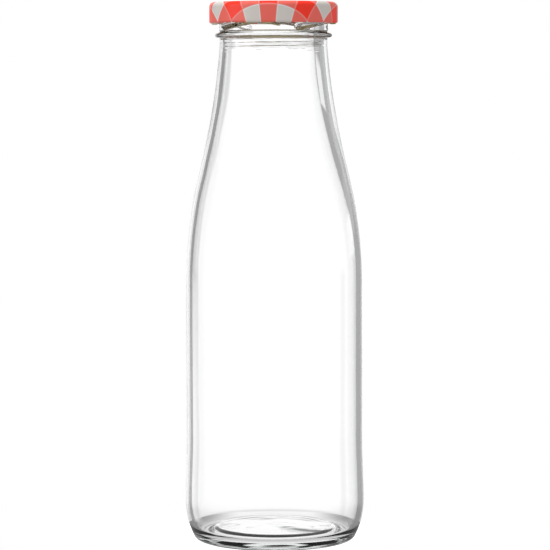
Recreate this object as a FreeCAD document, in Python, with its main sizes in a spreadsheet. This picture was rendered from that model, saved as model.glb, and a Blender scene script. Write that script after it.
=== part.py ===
import FreeCAD, Part

import math
import os

import Sketcher

# Glass milk bottle with a four-lug twist lid. Millimetres, +Z up,
# origin at the centre of the ring that the bottle stands on.

SIZES = {
    # Outside of the glass
    "body_radius": 35.2,
    "barrel_bottom": 31.5,
    "barrel_top": 103.2,
    "shoulder_height": 93.8,
    "shoulder_radius": 181.0,
    "neck_flare_radius": 289.0,
    # Inside of the glass, whose wall is thickest in the shoulder
    "wall": 2.4,
    "inside_shoulder_radius": 150.0,
    "inside_flare_radius": 220.0,
    # Heel and base of the glass
    "heel_step": 0.65,
    "heel_height": 16.0,
    "heel_band_height": 6.5,
    "heel_inset": 6.15,
    "heel_corner_radius": 3.0,
    "bearing_width": 3.5,
    "push_up_slope_width": 3.0,
    "push_up_height": 2.6,
    "push_up_crown": 0.6,
    "base_wall": 2.8,
    "floor_slope_width": 3.3,
    "floor_crown": 0.6,
    "moat_offset": 0.5,
    "moat_height": 3.6,
    "inside_corner_radius": 4.5,
    # Neck, transfer bead and finish
    "finish_radius": 21.65,
    "finish_wall": 3.35,
    "neck_step": 0.22,
    "neck_height": 4.35,
    "bead_depth": 1.6,
    "bead_round": 1.0,
    "bead_slope": 45.0,
    "bore_end": 0.8,
    "lip_round": 1.0,
    # Thread ridges
    "ridge_count": 4,
    "ridge_lead": 24.0,
    "ridge_span": 90.0,
    "ridge_round": 1.2,
    "ridge_depth": 1.8,
    "ridge_end_step": 0.05,
    "ridge_start_rise": 3.3,
    "ridge_top_gap": 0.35,
    "ridge_start_angle": 28.0,
    # Lid shell
    "lid_gap": 0.65,
    "lid_drop": 7.05,
    "lid_corner_radius": 1.9,
    "sheet": 0.22,
    "curl_radius": 0.7,
    "channel_margin": 0.6,
    "panel_step": 0.5,
    "panel_slope_width": 0.9,
    # Lugs of the lid
    "lug_thickness": 1.3,
    "lug_gap": 0.15,
    "lug_root_gap": 0.45,
    "lug_back_gap": 0.25,
    "lug_span": 22.0,
    # Sealing liner
    "liner_thickness": 0.95,
    "liner_overhang": 1.0,
    "liner_gap": 0.05,
    "lip_gap": 0.08,
}

FULL_TURN = 360

# Heights and radii that follow from the sheet
HEEL_RADIUS = "(Sizes.body_radius + Sizes.heel_step)"
BEARING_OUTER = f"({HEEL_RADIUS} - Sizes.heel_inset)"
BEARING_INNER = f"({BEARING_OUTER} - Sizes.bearing_width)"
HEEL_SPREAD = "(Sizes.heel_inset^2 + Sizes.heel_height^2 - 2 * Sizes.heel_height * Sizes.heel_corner_radius)"
HEEL_ROUND = f"({HEEL_SPREAD} / (2 * (Sizes.heel_inset - Sizes.heel_corner_radius)))"
INSIDE_RADIUS = "(Sizes.body_radius - Sizes.wall)"
INSIDE_HEEL = f"({HEEL_RADIUS} - Sizes.wall)"
HEEL_BAND_TOP = "(Sizes.heel_height + Sizes.heel_band_height)"
NECK_RADIUS = "(Sizes.finish_radius - Sizes.neck_step)"
NECK_BOTTOM = "(Sizes.barrel_top + Sizes.shoulder_height)"
BEAD_HEIGHT = f"({NECK_BOTTOM} + Sizes.neck_height)"
BEAD_CENTRE = "(Sizes.finish_radius + Sizes.bead_depth - Sizes.bead_round)"
BEAD_RISE = "Sizes.bead_round * sin(Sizes.bead_slope * 1deg)"
BEAD_RUN = f"({BEAD_CENTRE} + Sizes.bead_round * cos(Sizes.bead_slope * 1deg) - Sizes.finish_radius)"
FINISH_BOTTOM = f"({BEAD_HEIGHT} + {BEAD_RISE} + {BEAD_RUN} / tan(Sizes.bead_slope * 1deg))"
BORE_RADIUS = "(Sizes.finish_radius - Sizes.finish_wall)"
BORE_BOTTOM = f"({NECK_BOTTOM} + Sizes.bore_end)"
RIDGE_CENTRE = "(Sizes.finish_radius + Sizes.ridge_depth - Sizes.ridge_round)"
RIDGE_START = f"({BEAD_HEIGHT} + Sizes.ridge_start_rise)"
RIDGE_CLIMB = f"Sizes.ridge_lead * Sizes.ridge_span / {FULL_TURN}"
RIDGE_TOP = f"({RIDGE_START} + {RIDGE_CLIMB} + Sizes.ridge_round)"
LIP_HEIGHT = f"({RIDGE_TOP} + Sizes.ridge_top_gap + Sizes.lip_round)"
LID_RADIUS = "(Sizes.finish_radius + Sizes.ridge_depth + Sizes.lid_gap + 2 * Sizes.curl_radius)"
LINER_BOTTOM = f"({LIP_HEIGHT} + Sizes.lip_gap)"
LINER_TOP = f"({LINER_BOTTOM} + Sizes.liner_thickness)"
LINER_INNER = f"({BORE_RADIUS} - Sizes.liner_overhang)"
CHANNEL_TOP = f"({LINER_TOP} + Sizes.liner_gap)"
LID_TOP = f"({CHANNEL_TOP} + Sizes.sheet)"
LID_CORNER = f"({LID_RADIUS} - Sizes.lid_corner_radius)"
SKIRT_TOP = f"({LID_TOP} - Sizes.lid_corner_radius)"
SLOPE_TOP = f"({LINER_INNER} - Sizes.channel_margin)"
PANEL_RADIUS = f"({SLOPE_TOP} - Sizes.panel_slope_width)"
RIM_HEIGHT = f"({LIP_HEIGHT} - Sizes.lid_drop)"
CURL_CENTRE = f"({LID_RADIUS} - Sizes.curl_radius)"
CURL_HEIGHT = f"({RIM_HEIGHT} + Sizes.curl_radius)"
LUG_INNER = "(Sizes.finish_radius + Sizes.lug_root_gap)"
LUG_OUTER = f"({LID_RADIUS} - Sizes.sheet - Sizes.lug_back_gap)"
LUG_HALF_CLIMB = f"Sizes.ridge_lead * Sizes.lug_span / (2 * {FULL_TURN})"
LUG_BOTTOM = f"({RIM_HEIGHT} - {LUG_HALF_CLIMB})"
LUG_TO_RIDGE = f"({RIM_HEIGHT} + Sizes.lug_thickness + Sizes.lug_gap + Sizes.ridge_round - {RIDGE_START})"
LUG_TURN = f"({LUG_TO_RIDGE} * {FULL_TURN} / Sizes.ridge_lead - Sizes.lug_span / 2)"

doc = FreeCAD.newDocument("milk_bottle")
sheet = doc.addObject("Spreadsheet::Sheet", "Sizes")
for row, (alias, size) in enumerate(SIZES.items(), start=1):
    sheet.set(f"A{row}", alias.replace("_", " "))
    sheet.set(f"B{row}", str(size))
    sheet.setAlias(f"B{row}", alias)
doc.recompute()


def number(value):
    """Plain number of an expression of sheet cells, or of a number itself."""
    if isinstance(value, str):
        value = sheet.evalExpression(value)
    return float(getattr(value, "Value", value))


def origin_feature(body, role):
    """Plane or axis of a body's own origin."""
    return next(item for item in body.Origin.OriginFeatures if item.Role == role)


class Profile:
    """Closed half section in a body's XZ plane.

    A coordinate given as an expression of the sheet is held at it. A coordinate given as a number
    is only a first place, and the tangents and radii around it settle where it goes.
    """

    def __init__(self, body, name, x, z):
        self.sketch = body.newObject("Sketcher::SketchObject", name)
        self.sketch.AttachmentSupport = [(origin_feature(body, "XZ_Plane"), "")]
        self.sketch.MapMode = "FlatFace"
        self.corners = [(x, z)]
        self.edges = []

    def constrain(self, *arguments, expression=None):
        """Add a constraint, bound to an expression of the sheet if one is given."""
        index = self.sketch.addConstraint(Sketcher.Constraint(*arguments))
        if expression is not None:
            self.sketch.setExpression(f"Constraints[{index}]", expression)

    def point(self, corner):
        """First place of a corner of the outline."""
        return FreeCAD.Vector(number(corner[0]), number(corner[1]), 0)

    def line_to(self, x, z, smooth=False):
        """Straight edge to a corner; a smooth one is tangent to the edge before it."""
        line = Part.LineSegment(self.point(self.corners[-1]), self.point((x, z)))
        self.edges.append((self.sketch.addGeometry(line, False), 1, 2, smooth))
        self.corners.append((x, z))

    def arc_to(self, x, z, centre, clockwise, radius=None, smooth=False):
        """Arc to a corner about a centre, drawn clockwise or anticlockwise; returns its number."""
        middle = self.point(centre)
        start, end = self.point(self.corners[-1]), self.point((x, z))
        first, last = (end, start) if clockwise else (start, end)
        angles = [math.atan2(corner.y - middle.y, corner.x - middle.x) for corner in (first, last)]
        if angles[1] <= angles[0]:
            angles[1] += 2 * math.pi
        circle = Part.Circle(middle, FreeCAD.Vector(0, 0, 1), middle.distanceToPoint(start))
        index = self.sketch.addGeometry(Part.ArcOfCircle(circle, *angles), False)
        first_end, last_end = (2, 1) if clockwise else (1, 2)
        self.edges.append((index, first_end, last_end, smooth))
        self.corners.append((x, z))
        if radius is not None:
            self.constrain("Radius", index, number(radius), expression=radius)
        return index

    def hold(self, geometry, end, x, z):
        """Hold an edge's end at the coordinates that are expressions of the sheet."""
        for kind, axis, coordinate in (("DistanceX", -2, x), ("DistanceY", -1, z)):
            if coordinate == "0":
                self.constrain("PointOnObject", geometry, end, axis)
            elif isinstance(coordinate, str):
                self.constrain(kind, -1, 1, geometry, end, number(coordinate), expression=coordinate)

    def close(self):
        """Close the outline with a straight edge, join the edges and hold the corners."""
        self.line_to(*self.corners[0])
        for position, (geometry, first, _, smooth) in enumerate(self.edges):
            before, _, last, _ = self.edges[position - 1]
            self.constrain("Tangent" if smooth else "Coincident", before, last, geometry, first)
            self.hold(geometry, first, *self.corners[position])
        return self.sketch


def dome_centre(crown, edge_x, edge_z):
    """Centre, on the axis, of the arc from a crown down to an edge."""
    rise = number(crown) - number(edge_z)
    radius = (number(edge_x) ** 2 + rise**2) / (2 * rise)
    return (0.0, number(crown) - radius)


def tangent_centre(first, first_reach, second, second_reach):
    """Point at set distances from two points, on the right of the way from the first to the second."""
    across = second - first
    span = across.Length
    along = (first_reach**2 - second_reach**2 + span**2) / (2 * span)
    aside = math.sqrt(first_reach**2 - along**2)
    forward = across / span
    right = FreeCAD.Vector(forward.y, -forward.x, 0)
    return first + forward * along + right * aside


def flare_arcs(barrel_radius, shoulder_radius, neck_radius, neck_height, flare_radius):
    """Centres of a shoulder's arc and a neck's, and where they meet, from the barrel to the neck."""
    shoulder = number(shoulder_radius)
    flare = number(flare_radius)
    low = FreeCAD.Vector(number(barrel_radius) - shoulder, number("Sizes.barrel_top"), 0)
    neck = FreeCAD.Vector(number(neck_radius), number(neck_height), 0)
    high = tangent_centre(low, shoulder + flare, neck, flare)
    meeting = low + (high - low) * (shoulder / (shoulder + flare))
    return low, high, meeting


def heel_arcs(radius, base_height, corner_radius):
    """Centre of a heel's large arc, centre of the corner arc below it, and where they meet."""
    large, corner = number(radius), number(corner_radius)
    height = number("Sizes.heel_height")
    centre = FreeCAD.Vector(number(HEEL_RADIUS) - number(HEEL_ROUND), height, 0)
    corner_height = number(base_height) + corner
    across = math.sqrt((large - corner) ** 2 - (height - corner_height) ** 2)
    corner_centre = FreeCAD.Vector(centre.x + across, corner_height, 0)
    meeting = centre + (corner_centre - centre) * (large / (large - corner))
    return centre, corner_centre, meeting


def glass_section(body):
    """Half section of the glass: out under the base, up the outside, over the lip, down the inside."""
    low, high, meeting = flare_arcs(
        "Sizes.body_radius", "Sizes.shoulder_radius", NECK_RADIUS, NECK_BOTTOM, "Sizes.neck_flare_radius"
    )
    low_in, high_in, meeting_in = flare_arcs(
        INSIDE_RADIUS, "Sizes.inside_shoulder_radius", BORE_RADIUS, BORE_BOTTOM, "Sizes.inside_flare_radius"
    )
    inside_round = f"({HEEL_ROUND} - Sizes.wall)"
    heel, _, heel_meeting = heel_arcs(HEEL_ROUND, 0, "Sizes.heel_corner_radius")
    corner_round = "Sizes.inside_corner_radius"
    heel_in, corner_in, meeting_low = heel_arcs(inside_round, "Sizes.moat_height", corner_round)
    slope = math.radians(number("Sizes.bead_slope"))
    bead_over_x = number(BEAD_CENTRE) + number("Sizes.bead_round") * math.cos(slope)
    bead_over_z = number(f"{BEAD_HEIGHT} + {BEAD_RISE}")
    lip_shoulder = f"({LIP_HEIGHT} - Sizes.lip_round)"
    lip_outer = "(Sizes.finish_radius - Sizes.lip_round)"
    lip_inner = f"({BORE_RADIUS} + Sizes.lip_round)"
    moat_edge = f"({BEARING_INNER} + Sizes.moat_offset)"
    floor_edge = f"({moat_edge} - Sizes.floor_slope_width)"
    floor_height = "(Sizes.push_up_height + Sizes.base_wall)"
    floor_top = f"({floor_height} + Sizes.floor_crown)"
    push_up_edge = f"({BEARING_INNER} - Sizes.push_up_slope_width)"
    push_up_top = "(Sizes.push_up_height + Sizes.push_up_crown)"

    # Push-up, bearing ring and heel
    section = Profile(body, "glass_section", "0", push_up_top)
    push_up_centre = dome_centre(push_up_top, push_up_edge, "Sizes.push_up_height")
    push_up = section.arc_to(push_up_edge, "Sizes.push_up_height", push_up_centre, clockwise=True)
    section.line_to(BEARING_INNER, "0")
    section.line_to(BEARING_OUTER, "0")
    corner_centre = (BEARING_OUTER, "Sizes.heel_corner_radius")
    section.arc_to(
        heel_meeting.x, heel_meeting.y, corner_centre, False, "Sizes.heel_corner_radius", smooth=True
    )
    section.arc_to(HEEL_RADIUS, "Sizes.heel_height", (heel.x, heel.y), False, smooth=True)
    section.line_to(HEEL_RADIUS, HEEL_BAND_TOP, smooth=True)

    # Barrel, shoulder and neck
    section.line_to("Sizes.body_radius", "Sizes.barrel_bottom")
    section.line_to("Sizes.body_radius", "Sizes.barrel_top")
    section.arc_to(meeting.x, meeting.y, (low.x, low.y), False, "Sizes.shoulder_radius", smooth=True)
    section.arc_to(
        NECK_RADIUS, NECK_BOTTOM, (high.x, high.y), True, "Sizes.neck_flare_radius", smooth=True
    )
    section.line_to(NECK_RADIUS, f"({BEAD_HEIGHT} - Sizes.bead_round)")

    # Bead, finish and lip
    section.line_to(BEAD_CENTRE, f"({BEAD_HEIGHT} - Sizes.bead_round)")
    bead_centre = (BEAD_CENTRE, BEAD_HEIGHT)
    section.arc_to(bead_over_x, bead_over_z, bead_centre, False, "Sizes.bead_round", smooth=True)
    section.line_to("Sizes.finish_radius", FINISH_BOTTOM, smooth=True)
    section.line_to("Sizes.finish_radius", lip_shoulder)
    section.arc_to(lip_outer, LIP_HEIGHT, (lip_outer, lip_shoulder), False, "Sizes.lip_round")
    section.line_to(lip_inner, LIP_HEIGHT)
    section.arc_to(BORE_RADIUS, lip_shoulder, (lip_inner, lip_shoulder), False, "Sizes.lip_round")

    # Bore, inside of the shoulder and barrel, moat and raised floor
    section.line_to(BORE_RADIUS, BORE_BOTTOM)
    section.arc_to(meeting_in.x, meeting_in.y, (high_in.x, high_in.y), False, "Sizes.inside_flare_radius")
    section.arc_to(
        INSIDE_RADIUS,
        "Sizes.barrel_top",
        (low_in.x, low_in.y),
        True,
        "Sizes.inside_shoulder_radius",
        smooth=True,
    )
    section.line_to(INSIDE_RADIUS, "Sizes.barrel_bottom", smooth=True)
    section.line_to(INSIDE_HEEL, HEEL_BAND_TOP)
    section.line_to(INSIDE_HEEL, "Sizes.heel_height")
    section.arc_to(meeting_low.x, meeting_low.y, (heel_in.x, heel_in.y), True, inside_round, smooth=True)
    corner_centre = (corner_in.x, corner_in.y)
    section.arc_to(corner_in.x, "Sizes.moat_height", corner_centre, True, corner_round, smooth=True)
    section.line_to(moat_edge, "Sizes.moat_height", smooth=True)
    section.line_to(floor_edge, floor_height)
    floor_centre = dome_centre(floor_top, floor_edge, floor_height)
    floor = section.arc_to("0", floor_top, floor_centre, clockwise=False)
    sketch = section.close()

    # Both domes are centred on the axis
    section.constrain("PointOnObject", push_up, 3, -2)
    section.constrain("PointOnObject", floor, 3, -2)
    return sketch


def shell_section(body):
    """Half section of the lid's sheet: panel, channel, skirt and the tight curl inside the rim."""
    panel_top = f"({LID_TOP} - Sizes.panel_step)"
    skirt_inner = f"({LID_RADIUS} - Sizes.sheet)"
    curl_top = f"({CURL_HEIGHT} + Sizes.curl_radius)"
    corner_inner = "(Sizes.lid_corner_radius - Sizes.sheet)"
    section = Profile(body, "shell_section", "0", panel_top)
    section.line_to(PANEL_RADIUS, panel_top)
    section.line_to(SLOPE_TOP, LID_TOP)
    section.line_to(LID_CORNER, LID_TOP)
    section.arc_to(LID_RADIUS, SKIRT_TOP, (LID_CORNER, SKIRT_TOP), True, "Sizes.lid_corner_radius")
    section.line_to(LID_RADIUS, CURL_HEIGHT)
    section.arc_to(CURL_CENTRE, curl_top, (CURL_CENTRE, CURL_HEIGHT), True, "Sizes.curl_radius")
    section.line_to(skirt_inner, curl_top)
    section.line_to(skirt_inner, SKIRT_TOP)
    section.arc_to(LID_CORNER, CHANNEL_TOP, (LID_CORNER, SKIRT_TOP), False, corner_inner)
    section.line_to(SLOPE_TOP, CHANNEL_TOP)
    section.line_to(PANEL_RADIUS, f"({panel_top} - Sizes.sheet)")
    section.line_to("0", f"({panel_top} - Sizes.sheet)")
    return section.close()


def lug_section(body):
    """Section of a lug: a flat tongue with a round nose, from the curl in under the ridge."""
    nose = "(Sizes.lug_thickness / 2)"
    nose_x = f"({LUG_INNER} + {nose})"
    lug_top = f"({LUG_BOTTOM} + Sizes.lug_thickness)"
    section = Profile(body, "lug_section", LUG_OUTER, lug_top)
    section.line_to(nose_x, lug_top)
    section.arc_to(nose_x, LUG_BOTTOM, (nose_x, f"{LUG_BOTTOM} + {nose}"), False, smooth=True)
    section.line_to(LUG_OUTER, LUG_BOTTOM)
    return section.close()


def liner_section(body):
    """Half section of the sealing liner, which fills the lid's channel out to its corner."""
    radius = "(Sizes.lid_corner_radius - Sizes.sheet - Sizes.liner_gap)"
    drop = f"({LINER_BOTTOM} - {SKIRT_TOP})"
    outer_x = f"({LID_CORNER} + sqrt({radius} * {radius} - {drop} * {drop}))"
    section = Profile(body, "liner_section", LINER_INNER, LINER_BOTTOM)
    section.line_to(outer_x, LINER_BOTTOM)
    section.arc_to(LID_CORNER, LINER_TOP, (LID_CORNER, SKIRT_TOP), False, radius)
    section.line_to(LINER_INNER, LINER_TOP)
    return section.close()


def ridge_section(body):
    """Round section of a thread ridge at its low end."""
    section = Profile(body, "ridge_section", RIDGE_CENTRE, RIDGE_START)
    centre = section.point((RIDGE_CENTRE, RIDGE_START))
    circle = Part.Circle(centre, FreeCAD.Vector(0, 0, 1), number("Sizes.ridge_round"))
    index = section.sketch.addGeometry(circle, False)
    section.hold(index, 3, RIDGE_CENTRE, RIDGE_START)
    section.constrain("Radius", index, number("Sizes.ridge_round"), expression="Sizes.ridge_round")
    return section.sketch


def revolve(body, sketch, name):
    """Turn a half section all the way round the body's Z axis."""
    feature = body.newObject("PartDesign::Revolution", name)
    feature.Profile = sketch
    feature.ReferenceAxis = (origin_feature(body, "Z_Axis"), [""])
    feature.Angle = FULL_TURN
    doc.recompute()


def sweep_helix(body, sketch, name, span):
    """Sweep a section up the thread's helix through a span of the sheet, in degrees."""
    feature = body.newObject("PartDesign::AdditiveHelix", name)
    feature.Profile = sketch
    feature.ReferenceAxis = (origin_feature(body, "Z_Axis"), [""])
    feature.Mode = "pitch-turns-angle"
    feature.setExpression("Pitch", "Sizes.ridge_lead")
    feature.setExpression("Turns", f"{span} / {FULL_TURN}")
    doc.recompute()
    return feature


def round_end(body, name, angle, height):
    """Ball that rounds off the end of a thread ridge, at an angle and a height of the sheet."""
    ball = body.newObject("PartDesign::AdditiveSphere", name)
    ball.setExpression("Radius", "Sizes.ridge_round - Sizes.ridge_end_step")
    ball.setExpression("Placement.Base.x", f"{RIDGE_CENTRE} * cos({angle} * 1deg)")
    ball.setExpression("Placement.Base.y", f"{RIDGE_CENTRE} * sin({angle} * 1deg)")
    ball.setExpression("Placement.Base.z", height)
    doc.recompute()


def repeat_round(body, features, name):
    """Repeat features evenly round the Z axis, once for each start of the thread."""
    pattern = body.newObject("PartDesign::PolarPattern", name)
    pattern.Originals = features
    pattern.Axis = (origin_feature(body, "Z_Axis"), [""])
    pattern.Angle = FULL_TURN
    pattern.setExpression("Occurrences", "Sizes.ridge_count")
    body.Tip = pattern
    doc.recompute()


def turn(body, angle):
    """Turn a body about the Z axis by an angle of the sheet, in degrees."""
    upright = FreeCAD.Vector(0, 0, 1)
    body.Placement = FreeCAD.Placement(FreeCAD.Vector(), FreeCAD.Rotation(upright, number(angle)))
    body.setExpression("Placement.Rotation.Angle", f"({angle}) * 1deg")
    doc.recompute()


def make_bottle():
    """Moulded glass: one revolved section, with the thread ridges standing on its finish."""
    body = doc.addObject("PartDesign::Body", "bottle")
    revolve(body, glass_section(body), "glass")
    ridge = sweep_helix(body, ridge_section(body), "ridge", "Sizes.ridge_span")
    repeat_round(body, [ridge], "ridges")
    for start in range(int(number("Sizes.ridge_count"))):
        start_angle = f"({start} * {FULL_TURN} / Sizes.ridge_count)"
        round_end(body, f"ridge_low_end_{start}", start_angle, RIDGE_START)
        end_angle = f"({start_angle} + Sizes.ridge_span)"
        round_end(body, f"ridge_high_end_{start}", end_angle, f"{RIDGE_START} + {RIDGE_CLIMB}")
    turn(body, "Sizes.ridge_start_angle")
    return body


def make_lid_shell():
    """Pressed sheet lid, whose lugs stand just under the thread ridges when it is closed."""
    body = doc.addObject("PartDesign::Body", "lid_shell")
    revolve(body, shell_section(body), "shell")
    lug = sweep_helix(body, lug_section(body), "lug", "Sizes.lug_span")
    repeat_round(body, [lug], "lugs")
    turn(body, f"Sizes.ridge_start_angle + {LUG_TURN}")
    return body


def make_sealing_liner():
    """Soft ring cast into the lid's channel, which meets the lip of the glass."""
    body = doc.addObject("PartDesign::Body", "sealing_liner")
    revolve(body, liner_section(body), "liner")
    return body


def check(parts):
    """Stop if any object of the document failed, or if a part is not one sound solid."""
    for item in doc.Objects:
        if "Invalid" in item.State or "Error" in item.State:
            raise RuntimeError(f"{item.Label} failed: {item.State}")
    for part in parts:
        if part.Shape.isNull() or not part.Shape.isValid() or len(part.Shape.Solids) != 1:
            raise RuntimeError(f"{part.Label} is not one sound solid")


parts = [make_bottle(), make_lid_shell(), make_sealing_liner()]
doc.recompute()
check(parts)
os.makedirs("parts", exist_ok=True)
for part in parts:
    part.Shape.exportStep(f"parts/{part.Label}.step")
    print(f"{part.Label}: {part.Shape.Volume:.1f} mm3, {len(part.Shape.Faces)} faces")
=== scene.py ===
import math

import bpy
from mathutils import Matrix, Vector, noise


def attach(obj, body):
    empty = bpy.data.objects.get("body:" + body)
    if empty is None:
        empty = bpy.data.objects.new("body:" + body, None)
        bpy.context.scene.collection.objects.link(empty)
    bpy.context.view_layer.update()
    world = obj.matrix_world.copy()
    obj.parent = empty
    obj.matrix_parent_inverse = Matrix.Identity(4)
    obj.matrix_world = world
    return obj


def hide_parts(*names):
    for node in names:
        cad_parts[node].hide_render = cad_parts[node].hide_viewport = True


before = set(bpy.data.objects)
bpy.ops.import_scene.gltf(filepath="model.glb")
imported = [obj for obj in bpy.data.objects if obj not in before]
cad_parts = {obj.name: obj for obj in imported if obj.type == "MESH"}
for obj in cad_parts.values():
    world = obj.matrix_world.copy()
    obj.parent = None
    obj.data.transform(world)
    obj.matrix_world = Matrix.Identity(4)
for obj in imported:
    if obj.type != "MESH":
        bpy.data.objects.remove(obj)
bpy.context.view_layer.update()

# Glass milk bottle with a gingham twist lid, in metres, in the frame of the CAD part.
# A size that the CAD part has too goes by the same name here.

MM = 0.001
FULL_TURN = 2 * math.pi
QUARTER_TURN = math.pi / 2
ON_AXIS = 1e-9
WHITE = (1.0, 1.0, 1.0, 1.0)

# The photograph's frame and camera
IMAGE_SIDE = 550
FOCAL_PIXELS = 2633.0
SENSOR = 36.0
CAMERA_PLACE = Vector((0.00054, -1.049, 0.1846))
CAMERA_PITCH = math.radians(4.284)
CAMERA_ROLL = math.radians(0.14)
CAMERA_REACH = 100.0

# Outside of the glass
BODY_RADIUS = 35.2 * MM
BARREL_TOP = 103.2 * MM
SHOULDER_HEIGHT = 93.8 * MM
SHOULDER_RADIUS = 181.0 * MM
NECK_FLARE_RADIUS = 289.0 * MM

# Inside of the glass, whose wall is thickest in the shoulder
WALL = 2.4 * MM
INSIDE_RADIUS = BODY_RADIUS - WALL
INSIDE_SHOULDER_RADIUS = 150.0 * MM
INSIDE_FLARE_RADIUS = 220.0 * MM

# Heel of the glass, which eases into the barrel
HEEL_STEP = 0.65 * MM
HEEL_HEIGHT = 16.0 * MM
HEEL_EASE_TOP = 42.0 * MM
HEEL_INSET = 6.15 * MM
HEEL_CORNER_RADIUS = 3.0 * MM
HEEL_RADIUS = BODY_RADIUS + HEEL_STEP
HEEL_SPREAD = HEEL_INSET**2 + HEEL_HEIGHT**2 - 2 * HEEL_HEIGHT * HEEL_CORNER_RADIUS
HEEL_ROUND = HEEL_SPREAD / (2 * (HEEL_INSET - HEEL_CORNER_RADIUS))
INSIDE_HEEL = HEEL_RADIUS - WALL
INSIDE_CORNER_RADIUS = 4.5 * MM

# Base of the glass, with its edges eased over a short reach
BASE_EASE = 0.6 * MM
BEARING_WIDTH = 3.5 * MM
BEARING_OUTER = HEEL_RADIUS - HEEL_INSET
BEARING_INNER = BEARING_OUTER - BEARING_WIDTH
PUSH_UP_SLOPE_WIDTH = 3.0 * MM
PUSH_UP_HEIGHT = 2.6 * MM
PUSH_UP_CROWN = 0.6 * MM
PUSH_UP_EDGE = BEARING_INNER - PUSH_UP_SLOPE_WIDTH
PUSH_UP_TOP = PUSH_UP_HEIGHT + PUSH_UP_CROWN
BASE_WALL = 2.8 * MM
MOAT_OFFSET = 0.5 * MM
MOAT_HEIGHT = 3.6 * MM
MOAT_EDGE = BEARING_INNER + MOAT_OFFSET
FLOOR_SLOPE_WIDTH = 3.3 * MM
FLOOR_CROWN = 0.6 * MM
FLOOR_EDGE = MOAT_EDGE - FLOOR_SLOPE_WIDTH
FLOOR_HEIGHT = PUSH_UP_HEIGHT + BASE_WALL
FLOOR_TOP = FLOOR_HEIGHT + FLOOR_CROWN

# Neck, transfer bead and finish
FINISH_RADIUS = 21.65 * MM
FINISH_WALL = 3.35 * MM
NECK_STEP = 0.22 * MM
NECK_HEIGHT = 4.35 * MM
NECK_FILLET = 0.4 * MM
NECK_RADIUS = FINISH_RADIUS - NECK_STEP
NECK_BOTTOM = BARREL_TOP + SHOULDER_HEIGHT
BEAD_DEPTH = 1.6 * MM
BEAD_ROUND = 1.0 * MM
BEAD_SLOPE = math.radians(45.0)
BEAD_HEIGHT = NECK_BOTTOM + NECK_HEIGHT
BEAD_CENTRE = FINISH_RADIUS + BEAD_DEPTH - BEAD_ROUND
GROOVE_DEPTH = 0.3 * MM
GROOVE_DROP = 0.5 * MM
BORE_END = 0.8 * MM
BORE_RADIUS = FINISH_RADIUS - FINISH_WALL
BORE_BOTTOM = NECK_BOTTOM + BORE_END

# Thread ridges, and the lip above them
RIDGE_COUNT = 4
RIDGE_LEAD = 24.0 * MM
RIDGE_SPAN = math.radians(90.0)
RIDGE_ROUND = 1.2 * MM
RIDGE_DEPTH = 1.8 * MM
RIDGE_HALF_WIDTH = 1.45 * MM
RIDGE_SHARPNESS = 0.75
RIDGE_START_RISE = 3.3 * MM
RIDGE_START_ANGLE = math.radians(28.0)
RIDGE_TOP_GAP = 0.35 * MM
RIDGE_START = BEAD_HEIGHT + RIDGE_START_RISE
RIDGE_TOP = RIDGE_START + RIDGE_LEAD * RIDGE_SPAN / FULL_TURN + RIDGE_ROUND
LIP_ROUND = 1.0 * MM
LIP_HEIGHT = RIDGE_TOP + RIDGE_TOP_GAP + LIP_ROUND

# Sealing liner, with the dent that the lip leaves in it
LIP_GAP = 0.08 * MM
LINER_THICKNESS = 0.95 * MM
LINER_OVERHANG = 1.0 * MM
LINER_GAP = 0.05 * MM
LINER_EDGE = 0.3 * MM
LINER_BOTTOM = LIP_HEIGHT + LIP_GAP
LINER_TOP = LINER_BOTTOM + LINER_THICKNESS
LINER_INNER = BORE_RADIUS - LINER_OVERHANG
DENT_CENTRE = (FINISH_RADIUS + BORE_RADIUS) / 2
DENT_HALF_WIDTH = 1.6 * MM
DENT_DEPTH = 0.1 * MM

# Lid shell, whose curl is rolled inwards from the rim
SHEET = 0.22 * MM
CURL_RADIUS = 0.7 * MM
CURL_TURN = 1.45 * math.pi
LID_GAP = 0.65 * MM
LID_DROP = 7.05 * MM
LID_CORNER_RADIUS = 1.9 * MM
LID_RADIUS = FINISH_RADIUS + RIDGE_DEPTH + LID_GAP + 2 * CURL_RADIUS
LID_TOP = LINER_TOP + LINER_GAP + SHEET
LID_CORNER = LID_RADIUS - LID_CORNER_RADIUS
SKIRT_TOP = LID_TOP - LID_CORNER_RADIUS
RIM_HEIGHT = LIP_HEIGHT - LID_DROP
CHANNEL_MARGIN = 0.6 * MM
PANEL_STEP = 0.5 * MM
PANEL_SLOPE_WIDTH = 0.9 * MM
SLOPE_TOP = LINER_INNER - CHANNEL_MARGIN
PANEL_RADIUS = SLOPE_TOP - PANEL_SLOPE_WIDTH

# Lugs of the lid, which narrow to these shares of their width and thickness at both ends
LUG_SPAN = math.radians(22.0)
LUG_THICKNESS = 1.3 * MM
LUG_GAP = 0.15 * MM
LUG_ROOT_GAP = 0.45 * MM
LUG_BACK_GAP = 0.25 * MM
LUG_INNER = FINISH_RADIUS + LUG_ROOT_GAP
LUG_OUTER = LID_RADIUS - SHEET - LUG_BACK_GAP
LUG_END_WIDTH = 0.35
LUG_END_THICKNESS = 0.45
LUG_END_POWER = 6
LUG_POWER_ACROSS = 0.6
LUG_POWER_UP = 0.8
LUG_LENGTHS = 20
LUG_SIDES = 16

# Gingham print on the lid, with edges and outlines in shares of a check
CHECK_SIZE = 7.4 * MM
CHECK_TURN = math.radians(-4.5)
CHECK_BLUR = 0.02
OUTLINE_FULL = 0.02
OUTLINE_END = 0.055
OUTLINE_ON_INK = 0.2

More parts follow.
